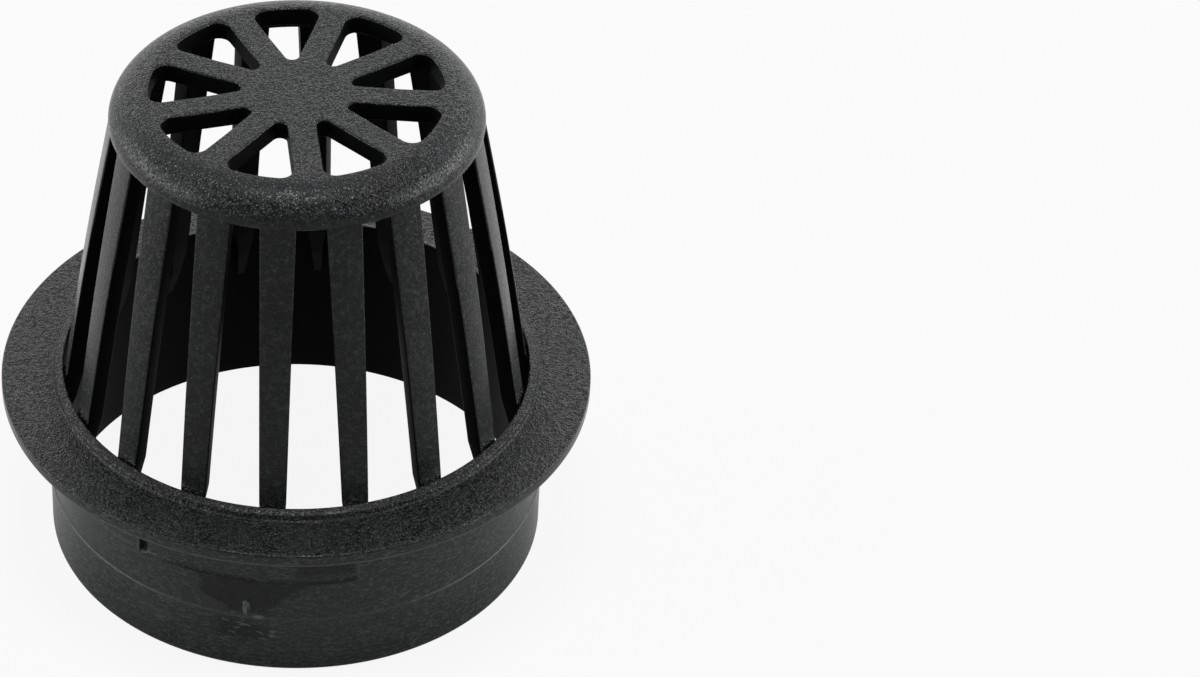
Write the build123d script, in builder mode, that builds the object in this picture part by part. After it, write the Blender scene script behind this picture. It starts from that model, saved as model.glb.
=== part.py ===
from build123d import *
import math
import os

# An atrium grate for a four inch drain: one moulding in black polyethylene.
# A plain skirt plugs into the pipe socket, a flange seats on its rim, and a
# tapering cage of ribs carries a round cap with a rosette of windows.
# The frame has its origin in the middle of the bottom edge, +Z up the axis.

# Skirt and the bore inside it.
skirt_diameter = 106.5
skirt_wall = 2.4
skirt_length = 37.4
skirt_edge_radius = 1.9
bore_edge_radius = 0.3
bore_draft = 1.5
ledge_height = 14.6
ledge_step = 0.15

# Flange, with a rounded bead that stands up round the bore.
flange_diameter = 126.0
flange_thickness = 2.9
flange_edge_radius = 0.5
seat_corner_radius = 0.4
bead_width = 2.2
bead_height = 1.9
bead_flank = 0.5
bead_foot_radius = 0.6
bead_outer_radius = 0.8
bead_inner_radius = 0.5

# Cap.
grate_height = 111.2
cap_diameter = 77.3
cap_flat_diameter = 61.4
cap_shoulder_drop = 6.3
cap_rim_drop = 7.2
cap_rim_draft = 0.1
cap_plate = 4.1

# Windows in the cap, which leave straight spokes and a small hub.
window_count = 9
window_outer_radius = 30.3
spoke_width = 6.0
window_corner_radius = 2.6
window_apex_radius = 1.5
first_window_angle = 14.7

# Ribs of the cage.
rib_count = 18
rib_head_width = 7.0
rib_foot_width = 5.5
rib_depth = 3.8
rib_side_draft = 16.0
rib_foot_gap = 0.6
cap_overhang = 0.3
rib_head_bite = 1.2
cap_rim_inset = 0.3

# Lower ends of the ribs, which narrow and run out in the wall of the bore.
knee_drop = 7.2
knee_width = 4.3
knee_depth = 2.8
tip_drop = 14.2
tip_width = 2.4
tip_depth = 0.1
wall_bite = 0.9

# Shallow pocket in the skirt under the flange, with a deeper notch at one end.
pocket_start_angle = 232.0
pocket_arc = 52.0
pocket_height = 24.2
pocket_depth = 0.5
notch_arc = 1.6
notch_height = 3.4
notch_depth = 1.0

# Sizes that follow from the ones above.
skirt_radius = skirt_diameter / 2
upper_skirt_radius = skirt_radius - ledge_step
flange_radius = flange_diameter / 2
flange_top = skirt_length + flange_thickness
bead_top = flange_top + bead_height
bore_slope = math.tan(math.radians(bore_draft))
bore_foot_radius = skirt_radius - skirt_wall
bore_mouth_radius = bore_foot_radius - bead_top * bore_slope
bead_foot = bore_mouth_radius + bead_width
cap_radius = cap_diameter / 2
cap_flat_radius = cap_flat_diameter / 2
cap_shoulder = grate_height - cap_shoulder_drop
cap_rim_bottom = grate_height - cap_rim_drop
cap_rim_radius = cap_radius - cap_rim_draft
cap_underside = grate_height - cap_plate
rib_foot_radius = bore_mouth_radius - rib_foot_gap
rib_head_radius = cap_rim_radius - cap_overhang
rib_slope = (rib_foot_radius - rib_head_radius) / (cap_rim_bottom - bead_top)
rib_taper = (rib_head_width - rib_foot_width) / (cap_rim_bottom - bead_top)
first_rib_angle = first_window_angle - 180 / rib_count
rib_top = cap_rim_bottom + rib_head_bite


def bore_radius(height):
    """Radius of the bore wall, which narrows upwards by its draft."""
    return bore_foot_radius - height * bore_slope


def rib_radius(height):
    """Radius of a rib's outer face, which lies on a cone."""
    return rib_foot_radius - (height - bead_top) * rib_slope


def rib_width(height):
    """Width of a rib's outer face, which grows evenly towards the cap."""
    return rib_foot_width + (height - bead_top) * rib_taper


def rib_section(outer_radius, inner_radius, outer_width):
    """Corners of a rib's section: a trapezium that narrows towards the axis."""
    side_draft = math.tan(math.radians(rib_side_draft))
    inner_width = outer_width - 2 * (outer_radius - inner_radius) * side_draft
    return [
        (outer_radius, outer_width / 2),
        (inner_radius, inner_width / 2),
        (inner_radius, -inner_width / 2),
        (outer_radius, -outer_width / 2),
    ]


# Skirt, flange and bead are one turned section.
with BuildPart() as skirt_and_flange:
    with BuildSketch(Plane.XZ):
        with BuildLine():
            FilletPolyline(
                (bore_foot_radius, 0),
                (skirt_radius, 0),
                (skirt_radius, ledge_height),
                (upper_skirt_radius, ledge_height + ledge_step),
                (upper_skirt_radius, skirt_length),
                (flange_radius, skirt_length),
                (flange_radius, flange_top),
                (bead_foot, flange_top),
                (bead_foot - bead_flank, bead_top),
                (bore_mouth_radius, bead_top),
                radius=[
                    bore_edge_radius,
                    skirt_edge_radius,
                    0,
                    0,
                    seat_corner_radius,
                    flange_edge_radius,
                    flange_edge_radius,
                    bead_foot_radius,
                    bead_outer_radius,
                    bead_inner_radius,
                ],
                close=True,
            )
        make_face()
    revolve(axis=Axis.Z)

# The pocket is a shallow arc cut from the skirt, up to the flange.
with BuildPart() as pocket:
    with BuildSketch(Plane.XZ.rotated((0, 0, pocket_start_angle))):
        with Locations((upper_skirt_radius - pocket_depth, pocket_height)):
            Rectangle(
                pocket_depth + seat_corner_radius + ledge_step,
                skirt_length - pocket_height,
                align=(Align.MIN, Align.MIN),
            )
    revolve(axis=Axis.Z, revolution_arc=pocket_arc)
    with BuildSketch(Plane.XZ.rotated((0, 0, pocket_start_angle))):
        with Locations((upper_skirt_radius - notch_depth, pocket_height)):
            Rectangle(notch_depth, notch_height, align=(Align.MIN, Align.MIN))
    revolve(axis=Axis.Z, revolution_arc=notch_arc)

# The cap is a turned plate with a rounded shoulder and a short rim below. The
# rim reaches inwards just past the ribs' inner faces, and takes their heads.
cap_inner_radius = rib_radius(rib_top) - rib_depth - cap_rim_inset
with BuildPart() as cap:
    with BuildSketch(Plane.XZ):
        with BuildLine():
            Polyline(
                (cap_radius, cap_shoulder),
                (cap_rim_radius, cap_rim_bottom),
                (cap_inner_radius, cap_rim_bottom),
                (cap_inner_radius, cap_underside),
                (0, cap_underside),
                (0, grate_height),
                (cap_flat_radius, grate_height),
            )
            EllipticalCenterArc(
                (cap_flat_radius, cap_shoulder),
                cap_radius - cap_flat_radius,
                cap_shoulder_drop,
                arc_size=90,
            )
        make_face()
    revolve(axis=Axis.Z)

# A window is a sector of the plate, less half a spoke's width on either side.
half_pitch = 180 / window_count
half_spoke = spoke_width / 2
apex_distance = half_spoke / math.sin(math.radians(half_pitch))
half_window = half_pitch - math.degrees(math.asin(half_spoke / window_outer_radius))
with BuildSketch() as window:
    with BuildLine():
        rim_arc = CenterArc((0, 0), window_outer_radius, -half_window, 2 * half_window)
        Polyline(rim_arc @ 1, (apex_distance, 0), rim_arc @ 0)
    make_face()
    fillet(window.vertices().sort_by(Axis.X)[1:], window_corner_radius)
    fillet(window.vertices().sort_by(Axis.X)[0], window_apex_radius)

with BuildPart() as windows:
    with BuildSketch(Plane.XY.offset(cap_underside)):
        with PolarLocations(0, window_count, start_angle=first_window_angle):
            add(window.sketch)
    extrude(amount=cap_plate)

# A rib tapers from the cap down to the bead, then narrows over a knee to a tip.
knee_height = bead_top - knee_drop
tip_height = bead_top - tip_drop
rib_stations = [
    (rib_top, rib_radius(rib_top), rib_depth, rib_width(rib_top)),
    (bead_top, rib_foot_radius, rib_depth, rib_foot_width),
    (knee_height, bore_radius(knee_height) + wall_bite, knee_depth + wall_bite, knee_width),
    (tip_height, bore_radius(tip_height) + wall_bite, tip_depth + wall_bite, tip_width),
]
with BuildPart() as rib:
    for upper, lower in zip(rib_stations, rib_stations[1:]):
        for height, outer_radius, depth, width in (upper, lower):
            with BuildSketch(Plane.XY.offset(height)):
                Polygon(*rib_section(outer_radius, outer_radius - depth, width), align=None)
        loft(ruled=True)

# The ribs join the cap to the skirt: the whole grate is one solid.
with BuildPart() as atrium_grate:
    add(skirt_and_flange.part)
    add(pocket.part, mode=Mode.SUBTRACT)
    add(cap.part)
    with PolarLocations(0, rib_count, start_angle=first_rib_angle):
        add(rib.part)
    add(windows.part, mode=Mode.SUBTRACT)

atrium_grate.part.label = "atrium_grate"
os.makedirs("parts", exist_ok=True)
export_step(atrium_grate.part, "parts/atrium_grate.step")
print("solids", len(atrium_grate.part.solids()), "volume", round(atrium_grate.part.volume))
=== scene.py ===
# %% [markdown]
# # An atrium grate, dressed from its solid
#
# The object is a drain grate about the size of a large mug, moulded in one
# shot of black polyethylene. A plain skirt plugs into a pipe, a flange stops
# it at the pipe's rim, and a tapering cage of ribs carries a round cap with
# a rosette of windows. The solid model already has the right sizes. What this
# script adds is the look: soft moulded edges, a fine grain, and light that
# shows them.

import math

import bmesh
import bpy
import numpy as np
from mathutils import Matrix, Vector


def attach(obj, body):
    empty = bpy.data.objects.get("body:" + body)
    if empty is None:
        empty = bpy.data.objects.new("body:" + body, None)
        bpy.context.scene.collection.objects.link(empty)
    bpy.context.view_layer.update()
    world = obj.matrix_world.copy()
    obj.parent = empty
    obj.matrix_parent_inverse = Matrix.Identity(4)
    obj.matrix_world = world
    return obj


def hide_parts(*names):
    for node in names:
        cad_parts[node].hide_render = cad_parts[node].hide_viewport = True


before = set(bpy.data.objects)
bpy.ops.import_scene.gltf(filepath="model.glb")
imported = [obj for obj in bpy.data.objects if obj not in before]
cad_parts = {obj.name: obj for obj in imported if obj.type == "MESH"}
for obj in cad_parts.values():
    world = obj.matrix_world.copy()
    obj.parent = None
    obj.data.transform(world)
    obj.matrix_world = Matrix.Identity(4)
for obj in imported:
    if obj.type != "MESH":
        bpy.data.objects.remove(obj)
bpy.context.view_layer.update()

# %% [markdown]
# ## Sizes
#
# Blender works in metres here, but a moulding is easier to think about in
# millimetres. Every size of a piece is in millimetres, and a surface is
# turned into metres once, when it becomes a mesh. Angles round the axis are
# in degrees from the front, and grow to the right. The sizes that several
# pieces share come first. A piece's own sizes stand beside its surface.

# %% Sizes that the pieces share
SKIRT_RADIUS = 53.25
SKIRT_WALL = 2.4
SKIRT_LENGTH = 37.4
FLANGE_RADIUS = 63.0
FLANGE_THICKNESS = 2.9
FLANGE_TOP = SKIRT_LENGTH + FLANGE_THICKNESS
BEAD_HEIGHT = 1.9
BEAD_TOP = FLANGE_TOP + BEAD_HEIGHT
BORE_DRAFT = 1.5
BORE_SLOPE = math.tan(math.radians(BORE_DRAFT))
BORE_FOOT = SKIRT_RADIUS - SKIRT_WALL
BORE_MOUTH = BORE_FOOT - BEAD_TOP * BORE_SLOPE
CAP_TOP = 111.2
CAP_PLATE = 4.1
CAP_UNDERSIDE = CAP_TOP - CAP_PLATE
CAP_SHOULDER_DROP = 6.3
CAP_SHOULDER = CAP_TOP - CAP_SHOULDER_DROP
CAP_RIM_DROP = 7.2
CAP_RIM_BOTTOM = CAP_TOP - CAP_RIM_DROP
CAP_FLAT_RADIUS = 30.7
CAP_RADIUS = 38.65
CAP_RIM_DRAFT = 0.1
CAP_RIM_RADIUS = CAP_RADIUS - CAP_RIM_DRAFT
WINDOW_COUNT = 9
RIB_COUNT = 18
# The solid counts its angles from +X, which is 90 degrees round from the front.
FIRST_WINDOW = 90 + 14.7
print("bore", round(BORE_FOOT, 2), "at its foot and", round(BORE_MOUTH, 2), "at its mouth")

# %% [markdown]
# ## The camera
#
# A photograph of a small object on a table is usually taken with a long lens
# from about arm's length. Here the outlines of the flange, the cap and the
# windows give the camera: it looks down by about 38 degrees from 0.9 m. The
# grate stands left of the middle of the picture, and a lens shift puts it
# there without turning the camera, which would change its perspective.

# %% Camera at the photograph's viewing angle
LOOK_DOWN = math.radians(37.884)
ROLL = math.radians(0.2)
DISTANCE = 0.88623
AIM_HEIGHT = 0.047387
SENSOR_WIDTH = 36.0
# The picture, the focal length and the place of the aim in it, in pixels.
PICTURE_WIDTH = 1200
PICTURE_HEIGHT = 677
FOCAL_LENGTH = 4160.32
AIM_RIGHT = 296.25
AIM_DOWN = 338.0

lens = bpy.data.cameras.new("camera")
lens.sensor_width = SENSOR_WIDTH
lens.lens = SENSOR_WIDTH * FOCAL_LENGTH / PICTURE_WIDTH
lens.shift_x = (PICTURE_WIDTH / 2 - AIM_RIGHT) / PICTURE_WIDTH
lens.shift_y = (AIM_DOWN - PICTURE_HEIGHT / 2) / PICTURE_WIDTH
lens.clip_start = 0.05
lens.clip_end = 50.0
camera = bpy.data.objects.new("camera", lens)
bpy.context.scene.collection.objects.link(camera)
stand = (0.0, -DISTANCE * math.cos(LOOK_DOWN), AIM_HEIGHT + DISTANCE * math.sin(LOOK_DOWN))
camera.matrix_world = (
    Matrix.Translation(stand)
    @ Matrix.Rotation(math.pi / 2 - LOOK_DOWN, 4, "X")
    @ Matrix.Rotation(ROLL, 4, "Z")
)
bpy.context.scene.camera = camera
print("lens", round(lens.lens, 1), "mm, from", [round(c, 3) for c in stand])

# %% [markdown]
# ## A grid that becomes a mesh
#
# Nearly every surface of a moulding is a section carried along a path: turned
# round an axis, or pushed along a line. It could be modelled by hand with
# Blender's Spin and Extrude, but then a changed size means modelling again.
# So each surface is worked out as a whole array of points, rows by columns,
# and neighbouring points are joined by four-sided faces.

# %% Faces of a grid
def grid_faces(rows, columns, close_rows=False, close_columns=False):
    """Faces of a grid: point (i, j) is number i * columns + j, and each face
    joins (i, j), (i, j + 1), (i + 1, j + 1) and (i + 1, j)."""
    i, j = np.meshgrid(
        np.arange(rows if close_rows else rows - 1),
        np.arange(columns if close_columns else columns - 1),
        indexing="ij",
    )
    next_i = (i + 1) % rows
    next_j = (j + 1) % columns
    corners = [i * columns + j, i * columns + next_j, next_i * columns + next_j, next_i * columns + j]
    return np.stack(corners, axis=-1).reshape(-1, 4)


print("a grid of 3 by 4 points has", len(grid_faces(3, 4)), "faces")


# %% Volume inside a surface
def enclosed_volume(points, faces):
    """Volume inside closed faces: a sixth of the sum of a . (b x c) over
    triangles. It is negative where the faces point inwards."""
    a, b, c, d = (points[faces[:, k]] for k in range(4))
    sixths = np.einsum("ij,ij->i", a, np.cross(b, c)) + np.einsum("ij,ij->i", a, np.cross(c, d))
    return sixths.sum() / 6


# %% From patches to a piece
MERGE_DISTANCE = 2e-6


def make_piece(name, patches, replaces=None):
    """Joins patches, each (points in millimetres, faces), into one object whose
    faces point outwards, merges the points that meet, and shades it smooth."""
    starts = np.cumsum([0] + [len(points) for points, _ in patches])
    points = np.concatenate([points for points, _ in patches])
    faces = np.concatenate([faces + start for (_, faces), start in zip(patches, starts)])
    volume = enclosed_volume(points, faces)
    if volume < 0:
        faces = faces[:, ::-1]
    mesh = bpy.data.meshes.new(name)
    mesh.from_pydata((points / 1000).tolist(), [], faces.tolist())
    work = bmesh.new()
    work.from_mesh(mesh)
    bmesh.ops.remove_doubles(work, verts=work.verts, dist=MERGE_DISTANCE)
    open_edges = sum(1 for edge in work.edges if not edge.is_manifold)
    work.to_mesh(mesh)
    work.free()
    mesh.polygons.foreach_set("use_smooth", np.ones(len(mesh.polygons), dtype=bool))
    mesh.update()
    piece = bpy.data.objects.new(name, mesh)
    bpy.context.scene.collection.objects.link(piece)
    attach(piece, "root")
    if replaces:
        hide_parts(replaces)
    cubic_centimetres = round(abs(volume) / 1000, 1)
    print(name, len(mesh.polygons), "faces,", cubic_centimetres, "cm3,", open_edges, "open edges")
    return piece


# %% [markdown]
# ## Soft-edged bands
#
# A mould's details have no sharp sides, so a pocket or a mark is a band that
# fades in and out. The fade is the smooth step, which starts and ends level.

# %% Steps and bands
def smooth_step(low, high, value):
    """0 below low, 1 above high, and 3 t^2 - 2 t^3 between, with t from 0 to 1."""
    t = np.clip((value - low) / (high - low), 0, 1)
    return t * t * (3 - 2 * t)


def band(start, end, edge, value):
    """1 between start and end and 0 outside, with a soft edge of that width."""
    begun = smooth_step(start - edge / 2, start + edge / 2, value)
    ended = smooth_step(end - edge / 2, end + edge / 2, value)
    return begun * (1 - ended)


print("a band from 0 to 10, at -1, 0 and 5:", [float(band(0, 10, 2, v)) for v in (-1, 0, 5)])

# %% [markdown]
# ## Rounded sections
#
# A mould has no knife edges: every corner of the section has a small radius,
# and it is this radius that catches the light as a thin line. A Bevel modifier
# would give all corners one width. Here corners and radii are listed side by
# side, and each corner becomes an arc that touches both of its sides.

# %% Sections with rounded corners
def rounded_section(corners, radii, arc_points=7):
    """Closed outlines with an arc at each corner, from corners in an array of
    (..., n, 2) and radii in one of (..., n). An arc of radius f in a corner of
    half angle h starts f / tan(h) from it, and its centre is f / sin(h) away
    along the bisector."""
    before = np.roll(corners, 1, axis=-2) - corners
    after = np.roll(corners, -1, axis=-2) - corners
    before /= np.linalg.norm(before, axis=-1, keepdims=True)
    after /= np.linalg.norm(after, axis=-1, keepdims=True)
    half = np.arccos(np.clip((before * after).sum(axis=-1), -1, 1)) / 2
    middle = (before + after) / np.linalg.norm(before + after, axis=-1, keepdims=True)
    centre = corners + middle * (radii / np.sin(half))[..., None]
    reach = (radii / np.tan(half))[..., None]
    first = corners + before * reach - centre
    last = corners + after * reach - centre
    start = np.arctan2(first[..., 1], first[..., 0])
    end = np.arctan2(last[..., 1], last[..., 0])
    sweep = (end - start + math.pi) % (2 * math.pi) - math.pi
    angle = start[..., None] + sweep[..., None] * np.linspace(0, 1, arc_points)
    arc = np.stack([np.cos(angle), np.sin(angle)], axis=-1) * radii[..., None, None]
    points = centre[..., None, :] + arc
    return points.reshape(*corners.shape[:-2], -1, 2)


square = rounded_section(np.array([(0.0, 0.0), (9.0, 0.0), (9.0, 9.0), (0.0, 9.0)]), np.full(4, 2.0))
print("a square with rounded corners has", len(square), "points")


# %% More points along a section
def divide(section, longest):
    """The closed section with more points, so that no run between two of them
    is longer than the length given by longest(middle of the run)."""
    ends = np.roll(section, -1, axis=0)
    run = np.linalg.norm(ends - section, axis=1)
    parts = np.maximum(1, np.ceil(run / longest((section + ends) / 2)).astype(int))
    index = np.repeat(np.arange(len(section)), parts)
    within = (np.arange(len(index)) - np.repeat(np.cumsum(parts) - parts, parts)) / parts[index]
    return section[index] + (ends[index] - section[index]) * within[:, None]


print("and", len(divide(square, lambda middle: 1.0)), "with one in every millimetre")


# %% From a section to its place on the grate
def turned(radius, angle, height, along=0.0):
    """Points at a radius r, an angle a in degrees from the front and a height,
    moved by t along the tangent: (r sin a + t cos a, t sin a - r cos a, height)."""
    turn = np.radians(angle)
    x = radius * np.sin(turn) + along * np.cos(turn)
    y = along * np.sin(turn) - radius * np.cos(turn)
    return np.stack(np.broadcast_arrays(x, y, height), axis=-1)


print("10 mm out, a quarter round to the right:", turned(10.0, 90.0, 0.0).round(3).tolist())

# %% [markdown]
# ## Skirt, flange and bead
#
# The lower part of the grate is a turned shape: one section, carried round
# the axis. The skirt's upper part is a hair thinner than its lower part, with
# a small step between them. The flange is a flat ring, and the bead is a low
# ridge round the bore, whose top slopes a little towards its outside.

# %% Section of the skirt, flange and bead
LEDGE_HEIGHT = 14.6
LEDGE_STEP = 0.15
UPPER_RADIUS = SKIRT_RADIUS - LEDGE_STEP
BEAD_OUTSIDE = BORE_MOUTH + 2.2
BORE_EDGE_ROUND = 0.35
# Each row is a corner: its radius, its height and its rounding.
body_corners = np.array(
    [
        (BORE_FOOT, 0, BORE_EDGE_ROUND),
        (SKIRT_RADIUS, 0, 1.9),
        (SKIRT_RADIUS, LEDGE_HEIGHT, 0.1),
        (UPPER_RADIUS, LEDGE_HEIGHT + LEDGE_STEP, 0.08),
        (UPPER_RADIUS, SKIRT_LENGTH, 0.4),
        (FLANGE_RADIUS, SKIRT_LENGTH, 0.5),
        (FLANGE_RADIUS, FLANGE_TOP, 0.55),
        (BEAD_OUTSIDE, FLANGE_TOP, 0.6),
        (BEAD_OUTSIDE - 0.35, BEAD_TOP - 0.7, 0.5),
        (BORE_MOUTH, BEAD_TOP, 0.35),
    ]
)
FINE_RUN = 0.4
COARSE_RUN = 2.5
FINE_FROM = 7
FINE_TO = 31


def run_length(middle):
    """Longest run of the section at a point of it: short on the stretch of the
    skirt's outside that carries the pocket's edge and the gate mark."""
    radius, height = middle[:, 0], middle[:, 1]
    detailed = (np.abs(radius - SKIRT_RADIUS) < 1) & (height > FINE_FROM) & (height < FINE_TO)
    return np.where(detailed, FINE_RUN, COARSE_RUN)


body_section = divide(rounded_section(body_corners[:, :2], body_corners[:, 2]), run_length)
print("section points:", len(body_section))

# %% [markdown]
# ## The pocket, the notch and the gate mark
#
# Under the flange the skirt has a shallow pocket with a deeper notch at its
# left end, and below it the raised loop that the moulding gate left. Cutting
# them with a Boolean would leave hard edges and long thin faces. They are
# small changes of radius over angle and height, so they are soft-edged bands
# that are taken off the radius, and the grid has more points where they
# begin and end.

# %% How far the wall lies inwards
POCKET_FROM = -37.6
POCKET_TO = 13.9
POCKET_HEIGHT = 24.4
POCKET_DEPTH = 0.5
NOTCH_ARC = 1.6
NOTCH_HEIGHT = 3.4
NOTCH_DEPTH = 0.6
GATE_ANGLE = -11.2
GATE_HEIGHT = 17.1
GATE_RAISED = 0.16
GATE_HALF_WIDTH = 1.05
GATE_HALF_HEIGHT = 2.3
GATE_MEAN_RADIUS = 1.4
DEGREE_ON_SKIRT = 0.93


def wall_inset(angle, height):
    """How far the skirt's outer wall lies inside its turned radius: a band of
    angles over the pocket's lower edge, a band of both for the notch, and less
    near the ellipse (across / half width)^2 + (up / half height)^2 = 1, which
    is the gate mark."""
    pocket = band(POCKET_FROM, POCKET_TO, 0.5, angle)
    pocket = pocket * smooth_step(POCKET_HEIGHT - 0.3, POCKET_HEIGHT + 0.3, height)
    notch = band(POCKET_FROM, POCKET_FROM + NOTCH_ARC, 0.4, angle)
    notch = notch * band(POCKET_HEIGHT - 0.4, POCKET_HEIGHT + NOTCH_HEIGHT, 0.4, height)
    across = (angle - GATE_ANGLE) * DEGREE_ON_SKIRT / GATE_HALF_WIDTH
    up = (height - GATE_HEIGHT) / GATE_HALF_HEIGHT
    from_loop = np.abs(np.hypot(across, up) - 1) * GATE_MEAN_RADIUS
    loop = 1 - smooth_step(0.05, 0.4, from_loop)
    return POCKET_DEPTH * pocket + NOTCH_DEPTH * notch - GATE_RAISED * loop


print("the pocket lies", round(float(wall_inset(0.0, 30.0)), 2), "mm inside the skirt")


# %% Skirt, flange and bead as one piece
body_angles = np.concatenate(
    [
        np.linspace(-180, 180, 400, endpoint=False),
        np.linspace(POCKET_FROM - 0.5, POCKET_FROM + 2.2, 16),
        np.linspace(POCKET_TO - 0.6, POCKET_TO + 0.6, 8),
        np.linspace(GATE_ANGLE - 2, GATE_ANGLE + 2, 26),
    ]
)
body_angles = np.unique(np.round(body_angles, 3))
angle, radius = np.meshgrid(body_angles, body_section[:, 0], indexing="ij")
height = np.broadcast_to(body_section[:, 1], radius.shape)
# Only the wall changes, not the bore, the lower edge or the flange.
on_wall = (radius > SKIRT_RADIUS - 1) & (height > 2) & (height < SKIRT_LENGTH + 0.01)
fade = 1 - smooth_step(SKIRT_RADIUS + 0.35, SKIRT_RADIUS + 1.35, radius)
radius = radius - wall_inset(angle, height) * on_wall * fade
body = make_piece(
    "skirt_and_flange",
    [(turned(radius, angle, height).reshape(-1, 3), grid_faces(*radius.shape, True, True))],
    replaces="atrium_grate",
)

# %% [markdown]
# ## The ribs
#
# A rib is a rounded trapezium, wider outside than inside so that the mould
# lets it go. It widens slowly towards the cap. Below the bead it narrows and
# thins until it runs out in the wall of the bore. So each of its sizes is an
# array over its height: its face lies on a cone that swells a little halfway
# up, and its width is blended between four places. Both ends are buried, one
# in the cap's rim and one in the bore's wall.

# %% Radii of a rib over its height
RIB_TIP = 27.6
RIB_KNEE = 35
RIB_TOP = CAP_RIM_BOTTOM + 1.4
RIB_FOOT_GAP = 0.6
RIB_FOOT_RADIUS = BORE_MOUTH - RIB_FOOT_GAP
RIB_HEAD_GAP = 0.08
RIB_HEAD_RADIUS = CAP_RIM_RADIUS - RIB_HEAD_GAP
RIB_KNEE_DEPTH = 2.8
RIB_DEPTH = 3.8
RIB_HEAD_DEPTH = 4.0
RIB_SWELL = 0.4
WALL_BITE = 0.9

levels = np.concatenate(
    [
        np.linspace(RIB_TIP, BEAD_TOP, 24),
        np.linspace(BEAD_TOP + 2.8, CAP_RIM_BOTTOM + 0.4, 14),
        [RIB_TOP],
    ]
)
rise = np.clip((levels - BEAD_TOP) / (CAP_RIM_BOTTOM - BEAD_TOP), 0, 1)
lean = (RIB_FOOT_RADIUS - RIB_HEAD_RADIUS) / (CAP_RIM_BOTTOM - BEAD_TOP)
face_radius = RIB_FOOT_RADIUS - (levels - BEAD_TOP) * lean + RIB_SWELL * np.sin(math.pi * rise)
bore_wall = BORE_FOOT - levels * BORE_SLOPE
in_bore = levels < BEAD_TOP
buried = 1 - smooth_step(RIB_KNEE, BEAD_TOP + 0.4, levels)
outer_radius = face_radius + np.where(in_bore, (bore_wall + WALL_BITE - face_radius) * buried, 0)
stand_in = np.interp(
    levels,
    [RIB_TIP, RIB_TIP + 0.8, RIB_KNEE, BEAD_TOP],
    [-0.1, 0.25, RIB_KNEE_DEPTH, RIB_FOOT_GAP + RIB_DEPTH],
)
depth = RIB_DEPTH + (RIB_HEAD_DEPTH - RIB_DEPTH) * rise
inner_radius = np.where(in_bore, bore_wall - stand_in, face_radius - depth)
print("ribs lean in by", round(RIB_FOOT_RADIUS - RIB_HEAD_RADIUS, 2), "over", len(levels), "levels")

# %% Widths of a rib over its height
SIDE_DRAFT = math.tan(math.radians(13))
RIB_TIP_WIDTH = 2.4
RIB_KNEE_WIDTH = 4.4
RIB_FOOT_WIDTH = 5.8
RIB_HEAD_WIDTH = 7.5
LEAST_WIDTH = 0.5

outer_width = np.interp(
    levels,
    [RIB_TIP + 0.4, RIB_KNEE, BEAD_TOP, CAP_RIM_BOTTOM],
    [RIB_TIP_WIDTH, RIB_KNEE_WIDTH, RIB_FOOT_WIDTH, RIB_HEAD_WIDTH],
)
inner_width = outer_width - 2 * (outer_radius - inner_radius) * SIDE_DRAFT
inner_width = np.maximum(inner_width, LEAST_WIDTH)
print("rib width inside, from foot to head:", np.round(inner_width[[0, 12, 23, -1]], 2))

# %% [markdown]
# ## Eighteen ribs as one piece
#
# The four corners of the trapezium are rounded at all heights at once, and
# the outlines, one above the other, are a grid that closes on itself. Its two
# ends are closed by strips of faces across the outline. An Array modifier
# could repeat the rib, but adding the ribs' angles as one more direction of
# the array needs no extra object.

# %% Outlines and ribs
RIB_OUTER_ROUND = 0.4
RIB_INNER_ROUND = 0.5
RIB_TURN = -0.25

out = np.stack([outer_radius, inner_radius, inner_radius, outer_radius], axis=-1)
side = np.stack([outer_width, inner_width, -inner_width, -outer_width], axis=-1) / 2
outer_round = np.full(len(levels), RIB_OUTER_ROUND)
inner_round = np.minimum(RIB_INNER_ROUND, inner_width / 3)
rounds = np.stack([outer_round, inner_round, inner_round, outer_round], axis=-1)
outlines = rounded_section(np.stack([out, side], axis=-1), rounds, 5)

rib_pitch = 360 / RIB_COUNT
rib_angles = FIRST_WINDOW - rib_pitch / 2 + RIB_TURN + np.arange(RIB_COUNT) * rib_pitch
rib_points = turned(outlines[..., 0], rib_angles[:, None, None], levels[:, None], outlines[..., 1])

around = outlines.shape[1]
left = np.arange(around // 2 - 1)
end_faces = np.stack([left, left + 1, around - 2 - left, around - 1 - left], axis=-1)
last_outline = (len(levels) - 1) * around
rib_faces = np.concatenate(
    [grid_faces(len(levels), around, False, True), end_faces[:, ::-1], end_faces + last_outline]
)
ribs = make_piece("ribs", [(points.reshape(-1, 3), rib_faces) for points in rib_points])

# %% [markdown]
# ## The windows of the cap
#
# A window is a sector of the cap's plate, less half a spoke's width on either
# side, so that the spokes between the windows are straight. Its corners are
# rounded by arcs. Only the half on one side of the window's middle line is
# worked out, with the middle line along x, and the other half mirrors it.

# %% Outline of a window
WINDOW_RADIUS = 30.3
HALF_SPOKE = 3.0
CORNER_ROUND = 2.6
APEX_ROUND = 1.5
HALF_PITCH = math.pi / WINDOW_COUNT
spoke_side = np.array([math.cos(HALF_PITCH), math.sin(HALF_PITCH)])
from_spoke = np.array([math.sin(HALF_PITCH), -math.cos(HALF_PITCH)])


def around_circle(angles):
    """Points (cos a, sin a) on a circle of radius 1."""
    return np.stack([np.cos(angles), np.sin(angles)], axis=-1)


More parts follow.
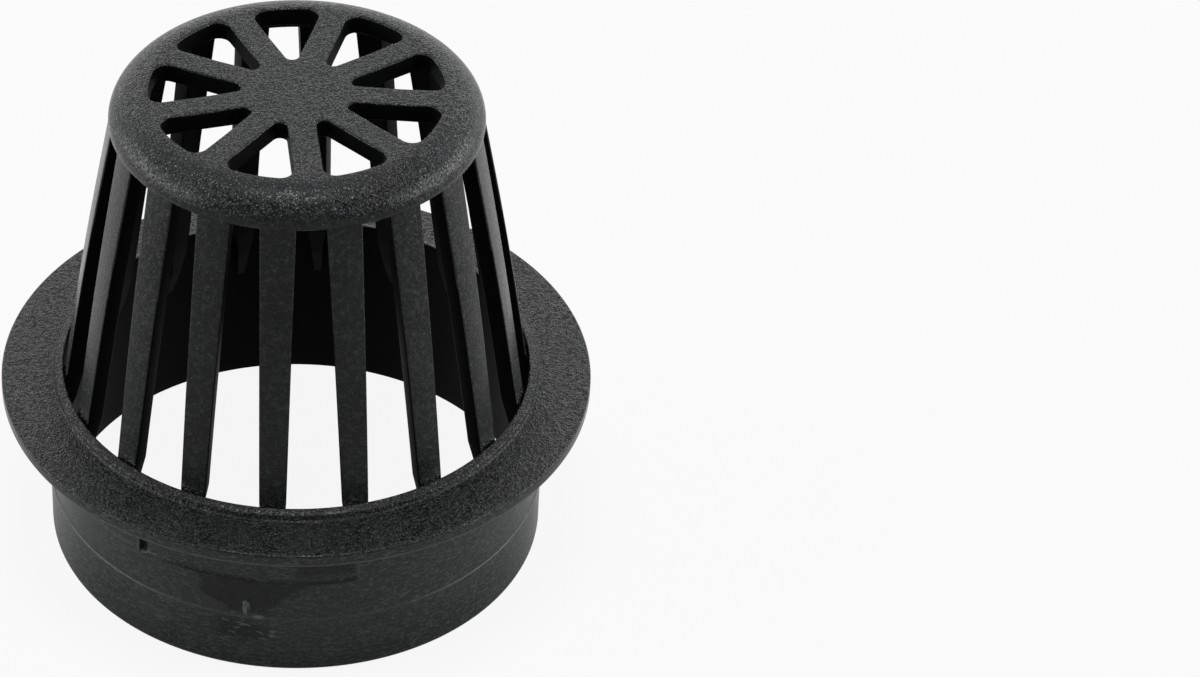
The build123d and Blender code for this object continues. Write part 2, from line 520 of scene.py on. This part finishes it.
def half_window():
    """Arc, corner, straight side and apex of half a window. The corner's centre
    lies CORNER_ROUND inside both the arc and the side, and the apex's centre
    lies on the middle line, APEX_ROUND inside both sides."""
    offset = HALF_SPOKE + CORNER_ROUND
    reach = math.sqrt((WINDOW_RADIUS - CORNER_ROUND) ** 2 - offset**2)
    centre = spoke_side * reach + from_spoke * offset
    edge = math.atan2(centre[1], centre[0])
    arc = WINDOW_RADIUS * around_circle(np.linspace(0, edge, 12, endpoint=False))
    corner = centre + CORNER_ROUND * around_circle(np.linspace(edge, math.pi / 2 + HALF_PITCH, 14))
    apex_centre = (HALF_SPOKE + APEX_ROUND) / math.sin(HALF_PITCH)
    apex = [apex_centre, 0] + APEX_ROUND * around_circle(np.linspace(math.pi / 2 + HALF_PITCH, math.pi, 10))
    side = corner[-1] + (apex[0] - corner[-1]) * np.linspace(0, 1, 60)[1:-1, None]
    return arc, corner, side, apex


arc, corner, side, apex = half_window()
half_outline = np.concatenate([arc, corner, side, apex])
print("window from", round(half_outline[:, 0].min(), 2), "to", round(half_outline[:, 0].max(), 2))

# %% [markdown]
# ## A wedge of the cap
#
# The cap is a disc with nine windows. A plain grid can't have holes, and a
# Boolean would leave long faces that shade badly, so the disc is cut into
# nine wedges, and each wedge is a grid of its own. One direction goes round
# the window, and the other goes from the window's edge out to the wedge's
# edge. The directions round the window are chosen so that points fall on the
# wedge's corner and close together on the window's rounded corners.

# %% Directions round a window
WINDOW_MIDDLE = 22.0
JOIN_RADIUS = 31.3


def way_to(points):
    """Direction from the window's middle to points: atan2(y, x - middle)."""
    return np.arctan2(points[:, 1], points[:, 0] - WINDOW_MIDDLE)


wedge_corner = JOIN_RADIUS * spoke_side[None, :]
half_ways = np.concatenate(
    [np.linspace(0, math.pi, 40), way_to(wedge_corner), way_to(corner), way_to(side)[::6], way_to(apex)]
)
half_ways = np.unique(np.round(half_ways, 6))
half_ways = half_ways[(half_ways > 1e-3) & (half_ways < math.pi - 1e-3)]
ways = np.concatenate([[0], half_ways, [math.pi], -half_ways[::-1]])
print("directions round a window:", len(ways))


# %% Reach of the window and of the wedge
def wedge_reach(way):
    """Distance from the window's middle m to the wedge's edge, which is the
    nearer of two: -m cos w + sqrt(R^2 - m^2 sin^2 w) to the circle of radius R,
    and m sin h / (|sin w| cos h - cos w sin h) to the middle of the spoke."""
    to_circle = np.sqrt(JOIN_RADIUS**2 - (WINDOW_MIDDLE * np.sin(way)) ** 2) - WINDOW_MIDDLE * np.cos(way)
    towards = np.abs(np.sin(way)) * math.cos(HALF_PITCH) - np.cos(way) * math.sin(HALF_PITCH)
    to_spoke = WINDOW_MIDDLE * math.sin(HALF_PITCH) / np.maximum(towards, 1e-9)
    return np.minimum(to_circle, to_spoke)


window_reach = np.interp(
    np.abs(ways), way_to(half_outline), np.hypot(half_outline[:, 0] - WINDOW_MIDDLE, half_outline[:, 1])
)
gap = (wedge_reach(ways) - window_reach)[:, None]
print("plate beside a window, from", round(gap.min(), 2), "to", round(gap.max(), 2))

# %% [markdown]
# ## Top, wall and underside as one sheet
#
# Each line of the wedge's grid starts at the wedge's edge on the underside,
# runs in to the window, turns up its wall over a small round, turns out over
# a larger round at the top, and runs back to the edge. So the window's edge
# is soft where the light falls on it, and nothing has to be joined.

# %% Steps outwards from the window
LOWER_ROUND = 0.25
UPPER_ROUND = 0.6
quarter = np.linspace(0, math.pi / 2, 7)
coarse_quarter = quarter[::2]


def for_all_ways(row):
    """The same row of values for each direction."""
    return np.broadcast_to(row, (len(ways), len(row)))


under = LOWER_ROUND + np.linspace(1, 0, 5)[:-1] * (gap - LOWER_ROUND)
over = UPPER_ROUND + np.linspace(0, 1, 6)[1:] * (gap - UPPER_ROUND)
steps = np.concatenate(
    [
        under,
        for_all_ways(LOWER_ROUND * (1 - np.sin(coarse_quarter))),
        for_all_ways([0, 0]),
        for_all_ways(UPPER_ROUND * (1 - np.cos(quarter))),
        over,
    ],
    axis=1,
)
reach = window_reach[:, None] + steps
flat = np.array([WINDOW_MIDDLE, 0]) + around_circle(ways)[:, None, :] * reach[..., None]
print("wedge grid:", flat.shape[:2])


# %% Heights of the sheet
def top_height(radius):
    """Height of the cap's top: level, then a quarter of an ellipse, which falls
    as sqrt(1 - u^2) while u goes from 0 to 1 over the shoulder."""
    beyond = np.clip((radius - CAP_FLAT_RADIUS) / (CAP_RADIUS - CAP_FLAT_RADIUS), 0, 1)
    return CAP_SHOULDER + (CAP_TOP - CAP_SHOULDER) * np.sqrt(1 - beyond**2)


drop = np.concatenate([UPPER_ROUND * (1 - np.sin(quarter)), np.zeros(over.shape[1])])
top = top_height(np.hypot(flat[..., 0], flat[..., 1]))[:, -len(drop):] - drop
height = np.concatenate(
    [
        for_all_ways(np.full(under.shape[1], CAP_UNDERSIDE)),
        for_all_ways(CAP_UNDERSIDE + LOWER_ROUND * (1 - np.cos(coarse_quarter))),
        for_all_ways([CAP_UNDERSIDE + 1.4, CAP_TOP - 1.8]),
        top,
    ],
    axis=1,
)
print("sheet from", round(height.min(), 2), "to", round(height.max(), 2))

# %% [markdown]
# ## Nine wedges and the shoulder
#
# Outside the windows the cap is a turned shape again: the shoulder is a
# quarter of an ellipse, and below it a short rim reaches inwards over the
# ribs' heads. Its grid has the wedges' own angles, so that it meets them in
# the same points, which are then merged.

# %% Section of the shoulder and the rim
RIM_EDGE = 0.3
RIM_EDGE_MIDDLE = 0.09
RIM_INSET = 0.3
rim_inside = RIB_FOOT_RADIUS - (RIB_TOP - BEAD_TOP) * lean - RIB_HEAD_DEPTH - RIM_INSET
shoulder_width = CAP_RADIUS - CAP_FLAT_RADIUS
shoulder_turn = np.linspace(math.acos((JOIN_RADIUS - CAP_FLAT_RADIUS) / shoulder_width), 0, 26)
shoulder = around_circle(shoulder_turn) * [shoulder_width, CAP_TOP - CAP_SHOULDER]
rim = [
    (CAP_RIM_RADIUS, CAP_RIM_BOTTOM + RIM_EDGE),
    (CAP_RIM_RADIUS - RIM_EDGE_MIDDLE, CAP_RIM_BOTTOM + RIM_EDGE_MIDDLE),
    (CAP_RIM_RADIUS - RIM_EDGE, CAP_RIM_BOTTOM),
    ((CAP_RIM_RADIUS + rim_inside) / 2, CAP_RIM_BOTTOM),
    (rim_inside + RIM_EDGE, CAP_RIM_BOTTOM),
    (rim_inside, CAP_RIM_BOTTOM + RIM_EDGE),
    (rim_inside, CAP_UNDERSIDE),
    (JOIN_RADIUS, CAP_UNDERSIDE),
]
ring_section = np.concatenate([[CAP_FLAT_RADIUS, CAP_SHOULDER] + shoulder, rim])
print("rim from", round(rim_inside, 2), "to", round(CAP_RIM_RADIUS, 2))

# %% The cap as one piece
window_angles = FIRST_WINDOW + np.arange(WINDOW_COUNT) * 360 / WINDOW_COUNT
wedges = turned(flat[..., 0], window_angles[:, None, None], height, flat[..., 1])
wedge_faces = grid_faces(*flat.shape[:2], True, False)
patches = [(points.reshape(-1, 3), wedge_faces) for points in wedges]

outer_edge = flat[:, -1]
on_circle = np.abs(np.hypot(outer_edge[:, 0], outer_edge[:, 1]) - JOIN_RADIUS) < 1e-6
arc_angles = np.degrees(np.arctan2(outer_edge[on_circle, 1], outer_edge[on_circle, 0]))
ring_angles = (window_angles[:, None] + np.sort(arc_angles)[:-1]).ravel()
ring = turned(ring_section[:, 0], ring_angles[:, None], ring_section[:, 1])
patches.append((ring.reshape(-1, 3), grid_faces(*ring.shape[:2], True, False)))
cap = make_piece("cap", patches)

# %% [markdown]
# ## Shader maths as sums
#
# A material in Blender is a graph of nodes, and its maths is easier to read
# as sums than as boxes. The small class below wraps one output of a node, so
# that a + b or 1 - mask adds a Math node. Every other node comes from one
# method that takes the node's type, its settings and its inputs.

# %% A socket that knows sums
class Value:
    """One output of a node. Sums with it add Math nodes."""

    def __init__(self, finish, socket):
        self.finish = finish
        self.socket = socket

    def __add__(self, other):
        return self.finish.maths("ADD", self, other)

    def __sub__(self, other):
        return self.finish.maths("SUBTRACT", self, other)

    def __rsub__(self, other):
        return self.finish.maths("SUBTRACT", other, self)

    def __mul__(self, other):
        return self.finish.maths("MULTIPLY", self, other)

    def __truediv__(self, other):
        return self.finish.maths("DIVIDE", self, other)

    def __rtruediv__(self, other):
        return self.finish.maths("DIVIDE", other, self)

    __radd__ = __add__
    __rmul__ = __mul__


# %% A tree of nodes
class Finish:
    """The node tree of a material or of the world, built one node at a time."""

    def __init__(self, owner):
        owner.use_nodes = True
        self.tree = owner.node_tree
        self.tree.nodes.clear()

    def node(self, kind, settings=None, inputs=None, output=0):
        """Adds a shader node: its settings first, such as an operation, and then
        its inputs, by name or number, each a value or a link."""
        made = self.tree.nodes.new("ShaderNode" + kind)
        for key, value in (settings or {}).items():
            setattr(made, key, value)
        for key, value in (inputs or {}).items():
            if isinstance(value, Value):
                self.tree.links.new(value.socket, made.inputs[key])
            else:
                made.inputs[key].default_value = value
        return Value(self, made.outputs[output]) if made.outputs else None

    def maths(self, operation, first, second=0.0):
        """One Math node."""
        return self.node("Math", {"operation": operation}, {0: first, 1: second})

    def highest(self, first, *others):
        """The largest of several values at each point."""
        for other in others:
            first = self.maths("MAXIMUM", first, other)
        return first

    def ramp(self, value, low, high):
        """0 below low and 1 above high, with a smooth step between."""
        inputs = {"Value": value, "From Min": low, "From Max": high}
        return self.node("MapRange", {"interpolation_type": "SMOOTHSTEP"}, inputs)

    def between(self, value, start, end, edge):
        """1 where a value lies between start and end, with soft edges."""
        return self.ramp(value, start - edge, start + edge) * (1 - self.ramp(value, end - edge, end + edge))

    def near(self, across, up, low, high):
        """1 inside an ellipse and 0 outside: a ramp over across^2 + up^2."""
        return 1 - self.ramp(across * across + up * up, low, high)

    def mix(self, share, first, second):
        """A colour between two others."""
        return self.node("Mix", {"data_type": "RGBA"}, {"Factor": share, "A": first, "B": second}, "Result")


# %% [markdown]
# ## Places on the grate
#
# A picture wrapped round the grate would need a flat map of it, and would
# blur from near. The finish is worked out from the object's own coordinates
# instead, in millimetres, and in the same angles and radii as the surfaces.
# So a mark is put where it belongs by the sizes above, and a noise has the
# same grain on every face.

# %% Coordinates and noise
class Pattern:
    """Noise on the object's own coordinates, in millimetres."""

    def __init__(self, finish):
        self.finish = finish
        place = finish.node("TexCoord", output="Object")
        self.mm = finish.node("VectorMath", {"operation": "SCALE"}, {0: place, "Scale": 1000.0})

    def noise(self, scale, detail, rough=0.5, stretch=None):
        """A cloudy pattern with that many waves in a millimetre, which is finer
        along an axis where stretch is above 1 and longer where it is below."""
        at = self.mm
        if stretch:
            at = self.finish.node("Mapping", {}, {"Vector": self.mm, "Scale": stretch})
        inputs = {"Vector": at, "Scale": scale, "Detail": detail, "Roughness": rough}
        return self.finish.node("TexNoise", {}, inputs, "Fac")


class Places(Pattern):
    """Where a point of the grate is, too: y to the back and z upwards, the angle
    atan2(x, -y) from the front, and the radius sqrt(x^2 + y^2)."""

    def __init__(self, finish):
        super().__init__(finish)
        x, self.y, self.z = (finish.node("SeparateXYZ", {}, {0: self.mm}, axis) for axis in "XYZ")
        self.angle = finish.maths("ARCTAN2", x, self.y * -1.0) * (180 / math.pi)
        self.radius = finish.maths("SQRT", x * x + self.y * self.y)


# %% Regions of the grate
class Regions:
    """1 on a region of the grate and 0 off it, with soft edges."""

    def __init__(self, finish, at):
        self.above = finish.ramp(at.z, FLANGE_TOP - 0.7, FLANGE_TOP - 0.1)
        self.flange = self.above * (1 - finish.ramp(at.z, BEAD_TOP + 0.1, BEAD_TOP + 0.8))
        self.cap = finish.ramp(at.z, CAP_RIM_BOTTOM, CAP_TOP - 0.6)
        self.shoulder = self.cap * finish.ramp(at.radius, CAP_FLAT_RADIUS - 0.7, CAP_RADIUS - 2.65)
        self.ribs = self.above * (1 - self.flange) * (1 - self.cap)
        # Painted shade: the flange's front is toned darker, where it reflects the dark cage.
        self.flange_front_shade = self.flange * finish.ramp(at.y, -25.0, -58.0)


# %% [markdown]
# ## Slick patches and painted shade on the skirt
#
# Where the melt met the mould first, and where fingers and pipes have rubbed,
# the skin has lost its grain and shines dark. On this skirt there is a large
# patch with a ragged right side across the gate mark, and a small blot below
# it. The hollow at the pocket's right end, the notch and the pocket's lower
# lip are darkened the same way. There the dark is painted shade in the
# recesses and a painted shadow under the lip.
# Each is a window of angles times a window of heights, and a slow noise
# moves the edges, so that they aren't straight.

# %% Patches without grain, and painted shade
def slick_patches_and_shade(finish, at):
    """The notch by itself, and all slick patches and painted shade together."""
    wobble = at.noise(0.3, 2.0) - 0.5
    left_edge = at.angle + wobble * 5.0 + 22.0 - (1 - finish.ramp(at.z, 16.0, 19.5)) * 7.0
    right_edge = at.angle + wobble * 6.0 + 6.0 - finish.ramp(at.z, 15.5, 24.5) * 8.5
    large = finish.ramp(left_edge, -0.7, 0.7) * (1 - finish.ramp(right_edge, -1.8, 1.8))
    large = large * finish.between(at.z + wobble * 2.0, 15.8, 24.1, 0.5)
    blot = finish.between(at.angle + wobble * 6.0, -18.5, -6.5, 2.0)
    blot = blot * finish.between(at.z + wobble * 4.0, 8.0, 13.4, 1.0) * 0.9
    # Painted shade: the deeper recess at the pocket's right end is darkened.
    pocket_end_shade = finish.between(at.angle + wobble * 2.0, 0.5, POCKET_TO - 0.5, 1.2)
    pocket_end_shade = pocket_end_shade * finish.between(at.z, 26.0, 34.0, 1.2) * 0.8
    # Painted shade: the notch is darkened as a recess in shade.
    notch = finish.between(at.angle, POCKET_FROM - 0.2, POCKET_FROM + NOTCH_ARC + 0.2, 0.2)
    notch = notch * finish.between(at.z, POCKET_HEIGHT - 0.4, POCKET_HEIGHT + NOTCH_HEIGHT + 0.2, 0.2)
    # Painted shadow: a thin dark line under the pocket's lower lip.
    lip_shadow = finish.between(at.angle, POCKET_FROM + NOTCH_ARC, POCKET_TO - 0.4, 1.0)
    lip_shadow = lip_shadow * finish.between(at.z, POCKET_HEIGHT - 0.4, POCKET_HEIGHT, 0.12) * 0.7
    return notch, finish.highest(large, blot, pocket_end_shade, notch, lip_shadow)


# %% [markdown]
# ## Fine lines, painted highlights and marks
#
# A mould is built from inserts, and a joint between two of them leaves a
# hair line. One runs on from the pocket's lower edge, left of the notch. The
# pale lines at the skirt's step, beside the notch and at the pocket's end are
# painted highlights, where these small edges catch the light. The pale line
# under the flange's edge is its parting line and a painted highlight too.
# The gate was cut off with a blade, which left fine upright scratches. A few
# pale streaks and a spot are older damage. They are far too small to model,
# so they only lighten the colour.

# %% Painted edge highlights and hair lines
def edge_highlights_and_hair_lines(finish, at):
    """Painted highlights on the skirt's small edges, with the hair line left of the notch and the parting
    line under the flange, as one value.
    """
    # Painted highlight along the skirt's step, stronger on its left side.
    turned_away = 1 - finish.ramp(at.angle, -45.0, 0.0)
    ledge_highlight = finish.between(at.z, LEDGE_HEIGHT - 0.2, LEDGE_HEIGHT + 0.3, 0.15)
    ledge_highlight = ledge_highlight * (0.5 + turned_away * 0.25)
    left_of_pocket = 1 - finish.ramp(at.angle, -41.0, -38.5)
    insert_line = finish.between(at.z, POCKET_HEIGHT - 0.3, POCKET_HEIGHT + 0.2, 0.12)
    insert_line = insert_line * left_of_pocket * 0.5
    # Painted highlight on the step at the pocket's right end.
    pocket_end_highlight = finish.between(at.angle, POCKET_TO - 0.4, POCKET_TO + 0.6, 0.2)
    pocket_end_highlight = pocket_end_highlight * finish.between(at.z, POCKET_HEIGHT + 0.6, SKIRT_LENGTH - 0.4, 0.3) * 0.6
    # Painted highlight on the notch's left edge.
    notch_edge_highlight = finish.between(at.angle, POCKET_FROM - 1.0, POCKET_FROM - 0.3, 0.15)
    notch_edge_highlight = notch_edge_highlight * finish.between(at.z, POCKET_HEIGHT - 0.8, POCKET_HEIGHT + 4.6, 0.3) * 0.5
    # The flange's parting line, and a painted highlight on its lower edge.
    seat_parting_line_and_highlight = finish.between(at.z, SKIRT_LENGTH, SKIRT_LENGTH + 0.6, 0.15)
    seat_parting_line_and_highlight = seat_parting_line_and_highlight * finish.ramp(at.radius, FLANGE_RADIUS - 1.2, FLANGE_RADIUS - 0.6) * 0.9
    return ledge_highlight + insert_line + pocket_end_highlight + notch_edge_highlight + seat_parting_line_and_highlight


# %% Scratches, streaks and a spot
def small_marks(finish, at):
    """The blade's scratches on the gate, the pale streaks and the pale spot."""
    gate = finish.near((at.angle - GATE_ANGLE) / 1.15, (at.z - GATE_HEIGHT) / 2.35, 0.45, 0.8)
    blade = at.noise(1.6, 1.0, stretch=(2.6, 2.6, 0.22))
    scratches = gate * finish.ramp(blade, 0.45, 0.6) * 1.6
    streaks = finish.between(at.angle, -19.0, -4.0, 2.0) * finish.between(at.z, 8.5, 13.5, 1.0)
    streaks = streaks * finish.ramp(at.noise(1.1, 1.0, stretch=(0.45, 0.45, 1.5)), 0.6, 0.66)
    spot = finish.near((at.angle + 8.3) / 1.4, (at.z - 14.8) / 0.5, 0.4, 1.2)
    return scratches, streaks, spot


# %% [markdown]
# ## Grain, wear and painted shade
#
# Above the seat the mould was etched with a grain, in two sizes: a stipple of
# half a millimetre and a coarser one of over twice that. It shows most on the
# cap's shoulder and on the flange, where the light grazes it. At the flange's
# front it is toned down by half, as painted shade where the flange reflects
# the dark cage. The skirt below has little grain. It has scuffs that run
# round it, and a few thin lines where the melt flowed.

# %% The grain above the seat
def etched_grain(finish, at, on, stipple, coarse):
    """How pale the etched grain makes the skin: a share of each size of grain,
    which differs from region to region, and more where both coincide."""
    blotch = finish.ramp(at.noise(0.35, 2.0, 0.6), 0.42, 0.62)
    stipple_share = 0.25 + on.cap * 0.05 - on.ribs * 0.03
    coarse_share = 0.22 + on.ribs * 0.12 + on.flange * 0.06 - on.cap * 0.12
    grain = on.above * (0.02 - on.flange * 0.02 + stipple * stipple_share + coarse * coarse_share)
    both = coarse * stipple
    # The flange's front gets less grain, as painted shade.
    grain = grain + on.shoulder * (both * 0.8 - 0.04) + (on.flange - on.flange_front_shade) * (both * 0.5 - 0.06)
    return grain * (1 - on.cap * (0.45 - blotch * 0.75)) * (1 - on.flange_front_shade * 0.5)


# %% The wear below it
def scuffs_and_lines(finish, at):
    """Scuffs round the skirt, and flow lines where a slow noise crosses 0.5."""
    scuffs = finish.ramp(at.noise(1.5, 3.0, 0.6, (0.45, 0.45, 1.5)), 0.47, 0.72)
    flow = at.noise(0.16, 1.0, stretch=(0.2, 0.2, 1.0)) - 0.5
    return scuffs, 1 - finish.ramp(finish.maths("ABSOLUTE", flow), 0.0015, 0.006)


# %% [markdown]
# ## Moulded black polyethylene
#
# Black polyethylene is never quite black. The skin is a dark blue-grey with
# the grain, small pale specks, and broad cloudy patches where the melt cooled
# at different speeds. One Principled shader is enough: clouds, grain, wear,
# marks, painted highlights and painted shade go into the colour and the
# roughness, and the grain's height goes into a Bump node, which breaks the
# highlights up. Its distance is tiny, a twentieth of a millimetre, because the
# real grain is no deeper.

# %% The colours of the skin
CLOUD_DARK = (0.0032, 0.0037, 0.0036, 1)
CLOUD_PALE = (0.0055, 0.0062, 0.006, 1)
GRAIN_PALE = (0.044, 0.048, 0.0465, 1)
CAP_GRAIN_PALE = (0.029, 0.035, 0.044, 1)
SPECK_PALE = (0.17, 0.18, 0.2, 1)
BUMP_DISTANCE = 0.000055


# %% The moulded finish
def moulded_finish():
    """The skin that the mould's outer halves formed."""
    material = bpy.data.materials.new("black polyethylene")
    finish = Finish(material)
    at = Places(finish)
    on = Regions(finish, at)
    stipple = finish.ramp(at.noise(1.9, 2.0, 0.6), 0.46, 0.76)
    coarse = finish.ramp(at.noise(0.8, 2.0, 0.6), 0.45, 0.75)
    sparkle = finish.ramp(at.noise(2.6, 1.0), 0.64, 0.73)
    clouds = finish.ramp(at.noise(0.07, 3.0), 0.36, 0.66)
    # The second value is the slick patches together with the painted shade in the notch, at the pocket's
    # right end and under its lip.
    notch, slick_and_shade = slick_patches_and_shade(finish, at)
    scratches, streaks, spot = small_marks(finish, at)
    scuffs, flow_lines = scuffs_and_lines(finish, at)
    # Painted edge highlights on the skirt, with the hair line, the parting line and the gate's scratches.
    edge_highlights_and_marks = (edge_highlights_and_hair_lines(finish, at) + scratches) * (1 - on.above)

    # The skirt's pattern is held back in the slick patches and in the painted shade.
    wear = (1 - on.above) * (1 - slick_and_shade * 0.9)
    pattern = etched_grain(finish, at, on, stipple, coarse)
    pattern = pattern + wear * (0.24 + scuffs * 0.8 + stipple * 0.45 + flow_lines * 0.3) + edge_highlights_and_marks
    plain = finish.mix(clouds, CLOUD_DARK, CLOUD_PALE)
    grained = finish.mix(pattern, plain, finish.mix(on.cap, GRAIN_PALE, CAP_GRAIN_PALE))
    # Fewer specks at the flange's front, as painted shade.
    specks = sparkle * (0.12 + on.cap * 0.6 + on.shoulder * 0.4 + on.flange * 0.45 - on.flange_front_shade * 0.25)
    specks = finish.highest(specks, streaks * 0.35, spot * 0.4, scratches * 0.3)
    colour = finish.mix(specks, grained, SPECK_PALE)
    roughness = 0.2 + clouds * 0.06 + pattern * 0.1 - slick_and_shade * 0.02 + notch * 0.5

    depth = 0.7 + on.flange * 3.6 - on.flange_front_shade * 1.4 + on.cap * 1.7 + on.shoulder * 1.0
    relief = on.above * (stipple + coarse * 0.6) * depth + wear * (scuffs * 0.5 + stipple * 0.4)
    bump = finish.node("Bump", {}, {"Strength": 1.0, "Distance": BUMP_DISTANCE, "Height": relief}, "Normal")
    skin = finish.node(
        "BsdfPrincipled",
        {},
        {"Base Color": colour, "Roughness": roughness, "Normal": bump, "Specular IOR Level": 0.22},
    )
    finish.node("OutputMaterial", {}, {"Surface": skin})
    return material


polyethylene = moulded_finish()
print("nodes in the moulded finish:", len(polyethylene.node_tree.nodes))

# %% [markdown]
# ## The core's side, in painted shade
#
# The inside of the bore, the ribs' sides and backs and the cap's underside
# were formed by the core of the mould, which is polished, not etched. They
# are smooth and lie deep in the cage. Their finish is painted much darker
# than the outside, almost black, as painted shade. With hardly any gloss,
# it keeps the white floor out of them.

# %% The core's finish, in painted shade
# Painted shade: the core side's colours are darker than the outside's.
CORE_SHADE_DARK = (0.0018, 0.0022, 0.0021, 1)
CORE_SHADE_PALE = (0.0032, 0.0038, 0.0036, 1)


def core_side_shade_finish():
    """The skin that the mould's core formed: smooth, and painted darker as shade."""
    material = bpy.data.materials.new("black polyethylene, core side in painted shade")
    finish = Finish(material)
    clouds = Pattern(finish).noise(0.07, 3.0)
    skin = finish.node(
        "BsdfPrincipled",
        {},
        {
            "Base Color": finish.mix(clouds, CORE_SHADE_DARK, CORE_SHADE_PALE),
            "Roughness": clouds * 0.1 + 0.38,
            "Specular IOR Level": 0.02,
        },
    )
    finish.node("OutputMaterial", {}, {"Surface": skin})
    return material


# The core side's material, painted darker as shade.
core = core_side_shade_finish()
print("nodes in the core's finish:", len(core.node_tree.nodes))

# %% [markdown]
# ## Two finishes on one piece
#
# Which half of the mould formed a face follows from where it is and which way
# it looks. So each piece gets both finishes, and every face takes one by its
# own centre and normal. The core's finish, on faces that look into the cage,
# is painted darker as shade. It could be done by selecting faces in Edit Mode,
# but the rule stays right when a size changes.

# %% Dressing the pieces
def dress(piece, outward_below=math.inf, upward_below=math.inf, radius_below=math.inf):
    """Gives a piece both finishes. The core's goes on each face whose normal n
    points away from the axis, (n . c) / |c| in plan, and upwards by less than
    these, and whose centre c is nearer the axis, in millimetres, than this."""
    polygons = piece.data.polygons
    centre = np.empty(3 * len(polygons))
    normal = np.empty(3 * len(polygons))
    polygons.foreach_get("center", centre)
    polygons.foreach_get("normal", normal)
    centre = centre.reshape(-1, 3) * 1000
    normal = normal.reshape(-1, 3)
    radius = np.hypot(centre[:, 0], centre[:, 1])
    outward = (centre[:, :2] * normal[:, :2]).sum(axis=1) / np.maximum(radius, 1e-6)
    # The core's finish, painted darker as shade, goes on faces that look into the cage.
    on_core_shade = (outward < outward_below) & (normal[:, 2] < upward_below) & (radius < radius_below)
    piece.data.materials.append(polyethylene)
    piece.data.materials.append(core)
    polygons.foreach_set("material_index", on_core_shade.astype(np.int32))
    print(piece.name, int(on_core_shade.sum()), "of", len(on_core_shade), "faces are core side")


dress(body, outward_below=-0.5, radius_below=BORE_FOOT + BORE_EDGE_ROUND)
dress(ribs, outward_below=0.5)
dress(cap, upward_below=0.5, radius_below=CAP_RIM_RADIUS - 0.55)

# %% [markdown]
# ## Floor and background
#
# The photograph has a white table and a white background, and almost no
# shadow. A white floor under strong lamps would also light the grate from
# below and make its black grey. So floor and background are plain white only
# to the camera, and to reflections towards the back, and stay weak as lights.
# The floor keeps a tenth of its own paint, which takes a pale shadow.

# %% White to the camera
WHITE = (1, 1, 1, 1)


def seen_white(finish, behind):
    """Share of plain white that a ray sees: 1 for the camera's, the share
    behind for reflections and for rays through a surface, and 0 for others."""
    camera_ray, glossy_ray, through_ray = (
        finish.node("LightPath", output=f"Is {kind} Ray") for kind in ("Camera", "Glossy", "Transmission")
    )
    return camera_ray + (glossy_ray + through_ray) * behind


# %% White floor
FLOOR_SIZE = 4.0
FLOOR_GREY = (0.55, 0.55, 0.55, 1)


def white_floor():
    """A flat sheet under the grate, much larger than the view."""
    corners = [(-1, -1), (1, -1), (1, 1), (-1, 1)]
    sheet = bpy.data.meshes.new("floor")
    sheet.from_pydata([(FLOOR_SIZE * x, FLOOR_SIZE * y, 0) for x, y in corners], [], [(0, 1, 2, 3)])
    floor = bpy.data.objects.new("floor", sheet)
    bpy.context.scene.collection.objects.link(floor)
    material = bpy.data.materials.new("white floor")
    paint = Finish(material)
    back = paint.node("SeparateXYZ", {}, {0: paint.node("TexCoord", output="Object")}, "Y")
    seen = seen_white(paint, paint.ramp(back, -0.05, 0.06)) * 0.9
    diffuse = paint.node("BsdfDiffuse", {}, {"Color": FLOOR_GREY})
    glow = paint.node("Emission", {}, {"Color": WHITE, "Strength": 1.0})
    shown = paint.node("MixShader", {}, {0: seen, 1: diffuse, 2: glow})
    paint.node("OutputMaterial", {}, {"Surface": shown})
    sheet.materials.append(material)
    print("floor", 2 * FLOOR_SIZE, "m wide")


white_floor()


# %% White world
def white_world():
    """A world that is white behind the grate and lights it weakly."""
    world = bpy.data.worlds.new("studio")
    bpy.context.scene.world = world
    studio = Finish(world)
    back = studio.node("SeparateXYZ", {}, {0: studio.node("TexCoord", output="Generated")}, "Y")
    seen = seen_white(studio, 0.2 + studio.ramp(back, -0.5, 0.3) * 0.8)
    weak = studio.node("Background", {}, {"Color": WHITE, "Strength": 0.15})
    white = studio.node("Background", {}, {"Color": WHITE, "Strength": 1.0})
    shown = studio.node("MixShader", {}, {0: seen, 1: weak, 2: white})
    studio.node("OutputWorld", {}, {"Surface": shown})
    print("nodes in the world:", len(world.node_tree.nodes))


white_world()

# %% [markdown]
# ## Soft boxes
#
# Black plastic shows mostly what it reflects, so its shape is drawn by the
# lamps: one on each side for the ribs and the skirt's sides, a small one
# overhead for the cap and the flange, a low wide one behind for the rims, and
# a very weak one in front. They are area lamps, because a small lamp would
# leave hard shadows and pin-point highlights.

# %% Lamps
GRATE_MIDDLE = Vector((0, 0, 0.06))


def soft_box(name, place, width, height, power):
    """An area lamp at a place in metres that faces the grate's middle."""
    lamp = bpy.data.lights.new(name, "AREA")
    lamp.shape = "RECTANGLE"
    lamp.size = width
    lamp.size_y = height
    lamp.energy = power
    box = bpy.data.objects.new(name, lamp)
    box.visible_camera = False
    bpy.context.scene.collection.objects.link(box)
    away = Vector(place) - GRATE_MIDDLE
    box.matrix_world = Matrix.Translation(place) @ away.to_track_quat("Z", "Y").to_matrix().to_4x4()
    print(name, "lamp", round(away.length, 2), "m away,", power, "W")


soft_box("backdrop", place=(0.2, 1.4, 0.18), width=2.8, height=0.36, power=4.0)
soft_box("overhead", place=(0.0, -0.12, 1.4), width=0.4, height=0.4, power=9.0)
soft_box("left", place=(-1.15, 0.0, 0.35), width=1.3, height=0.66, power=14.5)
soft_box("right", place=(1.15, 0.0, 0.35), width=1.3, height=0.66, power=16.0)
soft_box("front", place=(0.0, -1.5, 0.5), width=0.7, height=0.7, power=0.5)
bpy.context.scene.view_settings.view_transform = "Standard"
